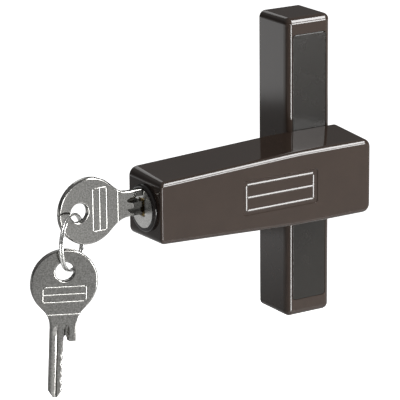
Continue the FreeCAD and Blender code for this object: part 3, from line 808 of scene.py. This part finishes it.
def spline(curve, points):
    line = curve.splines.new("POLY")
    line.points.add(len(points) - 1)
    for control, (x, y) in zip(line.points, points):
        control.co = (x, y, 0, 1)
    line.use_cyclic_u = True


def key_plate(name):
    curve = bpy.data.curves.new(name, "CURVE")
    curve.dimensions = "2D"
    curve.fill_mode = "BOTH"
    curve.extrude = key_thickness / 2 - key_rim
    curve.bevel_depth = key_rim
    curve.bevel_resolution = 5
    curve.offset = -key_rim
    spline(curve, key_outline())
    hole = [spin(key_hole_radius, 2 * math.pi * k / key_hole_steps) for k in range(key_hole_steps)]
    spline(curve, [(key_hole_distance + x, y) for x, y in hole])
    holder = new_object(name + "_curve", curve)
    mesh = bpy.data.meshes.new_from_object(holder)
    bpy.data.objects.remove(holder)
    work = bmesh.new()
    work.from_mesh(mesh)
    bmesh.ops.remove_doubles(work, verts=work.verts, dist=weld_distance)
    # The curve lies in XY; the key's height is Z and its front faces -Y
    for vertex in work.verts:
        x, z, y = vertex.co
        vertex.co = (x, y, z)
    bmesh.ops.recalc_face_normals(work, faces=work.faces)
    work.to_mesh(mesh)
    work.free()
    return new_object(name, mesh)


def groove_cutter(low, width, side, depths):
    """Groove that runs out at its start in the milling wheel's own radius."""
    bottom = -shoulder_half + low
    surface = side * key_thickness / 2
    depth = max(depths)
    run_out = math.sqrt(cutter_radius ** 2 - (cutter_radius - depth) ** 2)
    start = groove_start + run_out
    floor = [(bottom + width * k / (len(depths) - 1), into) for k, into in enumerate(depths)]
    section = [(floor[0][0], -cutter_over)] + floor + [(floor[-1][0], -cutter_over)]
    ends = [[(x, surface - side * into, z) for z, into in section]
            for x in (start, blade_length + cutter_over)]
    channel = new_object("channel", ring_mesh("channel", ends))
    center_y = surface + side * (cutter_radius - depth)
    verts = []
    for k in range(cutter_steps):
        for z, into in floor:
            x, y = spin(cutter_radius - depth + into, 2 * math.pi * k / cutter_steps)
            verts.append((start + x, center_y + y, z))
    count = len(floor)
    faces = []
    for this in range(0, len(verts), count):
        after = (this + count) % len(verts)
        for i in range(count - 1):
            faces.append((this + i, this + i + 1, after + i + 1, after + i))
    faces.append(tuple(range(0, len(verts), count)))
    faces.append(tuple(range(count - 1, len(verts), count)))
    return [channel, new_object("wheel", closed_mesh("wheel", verts, faces))]


def face_ridges(side):
    """Raised frame with a middle line, and the line across the neck, on one face of the bow."""
    surface = side * key_thickness / 2
    section = [(0, -line_sink)]
    for k in range(line_steps + 1):
        across = 2 * k / line_steps - 1
        section.append((frame_line * k / line_steps, line_height * (1 - across * across)))
    section.append((frame_line, -line_sink))
    rings = []
    for inset, height in section:
        outline = rounded_outline(rectangle(frame_start + inset, frame_start + frame_length - inset,
                                            -frame_half + inset, frame_half - inset,
                                            frame_radius - inset), steps=6)
        rings.append([(x, surface + side * height, z) for x, z in outline])
    pieces = [new_object("frame_ridge", tube_mesh("frame_ridge", rings))]
    lines = [(frame_start + frame_length / 2, frame_half - frame_line / 2),
             (neck_line_distance, neck_line_half)]
    for middle, half in lines:
        ends = [[(middle - frame_line / 2 + across, surface + side * height, z)
                 for across, height in section] for z in (-half, half)]
        pieces.append(new_object("line_ridge", ring_mesh("line_ridge", ends)))
    return pieces


def make_key(name, node, body, placement):
    key = key_plate(name)
    for groove in grooves:
        for cutter in groove_cutter(*groove):
            combine(key, cutter)
    for side in (-1, 1):
        for ridge in face_ridges(side):
            ridge.data.transform(placement)
            finish_piece(ridge, "key_steel", body)
    key.data.transform(placement)
    finish_piece(key, "key_steel", body, node, angle=28)


lock_key_hole = Vector(pivots["ring_swing"])
spare_key_hole = Vector(pivots["spare_key_swing"])
spare_heading = math.radians(-14.9)
spare_tilt = math.radians(3.0)


def make_keys():
    """Both keys, placed by the hole in the bow through which the ring passes."""
    from_hole = Matrix.Translation(Vector((-key_hole_distance, 0, 0)))
    make_key("lock_key_blank", "lock_key", "key", Matrix.Translation(lock_key_hole) @ from_hole)
    hang = Matrix.Rotation(spare_heading, 4, "Z") @ Matrix.Rotation(math.pi / 2 + spare_tilt, 4, "Y")
    placement = Matrix.Translation(spare_key_hole) @ hang @ from_hole
    make_key("spare_key_blank", "spare_key", "spare", placement)


# Split ring: two turns of round wire with one crossing; spans and angles round it are in degrees

ring_radius = 0.0103
wire_radius = 0.00045
turn_spacing = 0.00096
crossing_span = 50.0
crossing_angle = 83.0
ring_heading = math.radians(51.2)
ring_key_angle = 111.7
# Where the wire passes through the key's hole, from the hole's middle, in radii of the hole
ring_key_shift = (-0.32, -0.115)
wire_sides = 16
ring_steps = 240


def make_ring():
    across = Vector((-math.sin(ring_heading), -math.cos(ring_heading), 0))
    normal = Vector((math.cos(ring_heading), -math.sin(ring_heading), 0))
    up = Vector((0, 0, 1))
    spoke = math.radians(ring_key_angle)
    contact = across * math.cos(spoke) + up * math.sin(spoke)
    shift_x, shift_z = ring_key_shift
    wire_place = lock_key_hole + Vector((shift_x, 0, shift_z)) * key_hole_radius
    center = wire_place - contact * ring_radius
    first = crossing_span / 2
    last = 720 - crossing_span / 2
    path = []
    for k in range(ring_steps + 1):
        angle = first + (last - first) * k / ring_steps
        share = min(max((angle - (360 - crossing_span / 2)) / crossing_span, 0.0), 1.0)
        offset = turn_spacing * (share * share * (3 - 2 * share) - 0.5)
        around = math.radians(angle + crossing_angle)
        path.append(center + (across * math.cos(around) + up * math.sin(around)) * ring_radius
                    + normal * offset)
    rings = []
    for k, place in enumerate(path):
        way = (path[min(k + 1, ring_steps)] - path[max(k - 1, 0)]).normalized()
        side = way.cross(normal).normalized()
        other = side.cross(way)
        rings.append([place + (side * math.cos(2 * math.pi * i / wire_sides)
                               + other * math.sin(2 * math.pi * i / wire_sides)) * wire_radius
                      for i in range(wire_sides)])
    ring = new_object("split_ring", ring_mesh("split_ring", rings))
    finish_piece(ring, "ring_steel", "ring", "key_ring", angle=50)


# Stage and light

def make_stage():
    """White floor; what it glows in a mirror runs in bands, like a table, a dark gap and a backdrop."""
    mesh = bpy.data.meshes.new("floor")
    half = floor_size / 2
    mesh.from_pydata([(-half, -half, floor_height), (half, -half, floor_height),
                      (half, half, floor_height), (-half, half, floor_height)], [], [(0, 1, 2, 3)])
    new_object("floor", mesh)
    material, tree, shader = start_material("floor_white")
    shader.inputs["Base Color"].default_value = floor_color
    shader.inputs["Roughness"].default_value = 0.9
    shader.inputs["Specular IOR Level"].default_value = 0.0
    mesh.materials.append(material)
    place = add_node(tree, "TexCoord")
    parts = add_node(tree, "SeparateXYZ")
    link(tree, place, "Object", parts, "Vector")
    # Distance from the latch as a share of the span, because a ramp goes from 0 to 1
    flat = add_node(tree, "Mapping")
    flat.inputs["Scale"].default_value = (1 / band_span, 1 / band_span, 0)
    link(tree, place, "Object", flat, "Vector")
    distance = add_node(tree, "VectorMath", operation="LENGTH")
    link(tree, flat, "Vector", distance, 0)

    growth = map_range(tree, parts, "X", front_sides, front_glow)
    edge = map_range(tree, distance, "Value", [reach / band_span for reach in front_edge],
                     interpolation_type="SMOOTHSTEP")
    front = calculate(tree, "MULTIPLY", growth, "Result", edge, "Result")
    stops = [(reach / band_span, (glow, glow, glow)) for reach, glow in floor_bands]
    bands = ramp(tree, distance, stops, "Value")
    behind = map_range(tree, parts, "Y", front_to_back, interpolation_type="SMOOTHSTEP")
    blend = add_node(tree, "MixRGB")
    link(tree, behind, "Result", blend, "Fac")
    link(tree, front, "Value", blend, "Color1")
    link(tree, bands, "Color", blend, "Color2")

    paths = add_node(tree, "LightPath")
    mirrored = calculate(tree, "ADD", paths, "Is Glossy Ray", paths, "Is Transmission Ray",
                         use_clamp=True)
    in_mirror = calculate(tree, "MULTIPLY", mirrored, "Value", blend, "Color")
    total = calculate(tree, "ADD", in_mirror, "Value", paths, "Is Camera Ray")
    shader.inputs["Emission Color"].default_value = white
    link(tree, total, "Value", shader, "Emission Strength")


def make_world():
    """White to the camera and dimmer in a mirror."""
    world = bpy.data.worlds.new("studio")
    bpy.context.scene.world = world
    world.use_nodes = True
    tree = world.node_tree
    place = add_node(tree, "TexCoord")
    parts = add_node(tree, "SeparateXYZ")
    link(tree, place, "Generated", parts, "Vector")
    sky = ramp(tree, parts, [(height, (glow, glow, glow)) for height, glow in sky_glow], "Z")
    paths = add_node(tree, "LightPath")
    seen = add_node(tree, "MixRGB")
    seen.inputs["Color2"].default_value = white
    link(tree, paths, "Is Camera Ray", seen, "Fac")
    link(tree, sky, "Color", seen, "Color1")
    link(tree, seen, "Color", tree.nodes["Background"], "Color")


def area_light(name, toward, distance, along, width, height, radiance):
    """Rectangular soft box that looks at the latch; its power follows from its size and its radiance."""
    data = bpy.data.lights.new(name, "AREA")
    data.shape = "RECTANGLE"
    data.size = width
    data.size_y = height
    data.energy = radiance * math.pi * width * height
    light = new_object(name, data)
    z = Vector(toward).normalized()
    y = Vector(along)
    y = (y - z * y.dot(z)).normalized()
    axes = Matrix((y.cross(z), y, z)).transposed().to_4x4()
    light.matrix_world = Matrix.Translation(light_target + z * distance) @ axes


def on_arc(turn_degrees):
    """Direction to a place on the key light's circle, and the circle's own direction there."""
    turn = math.radians(turn_degrees)
    radius = math.sqrt(1 - key_offset ** 2)
    toward = (key_offset, -radius * math.cos(turn), radius * math.sin(turn))
    return toward, (0, math.sin(turn), math.cos(turn))


def make_lights():
    for name, turn, height, radiance in key_boxes:
        toward, along = on_arc(turn)
        area_light(name, toward, key_distance, along, key_width, height, radiance)
    for name, toward, distance, width, height, radiance in soft_boxes:
        area_light(name, toward, distance, (0, 0, 1), width, height, radiance)


make_camera()
make_stage()
make_world()
make_lights()
dress_nodes()
make_bar()
make_covers()
make_lever()
make_panel_frame()
make_cylinder()
make_keys()
make_ring()

bpy.context.scene.view_settings.view_transform = "Standard"
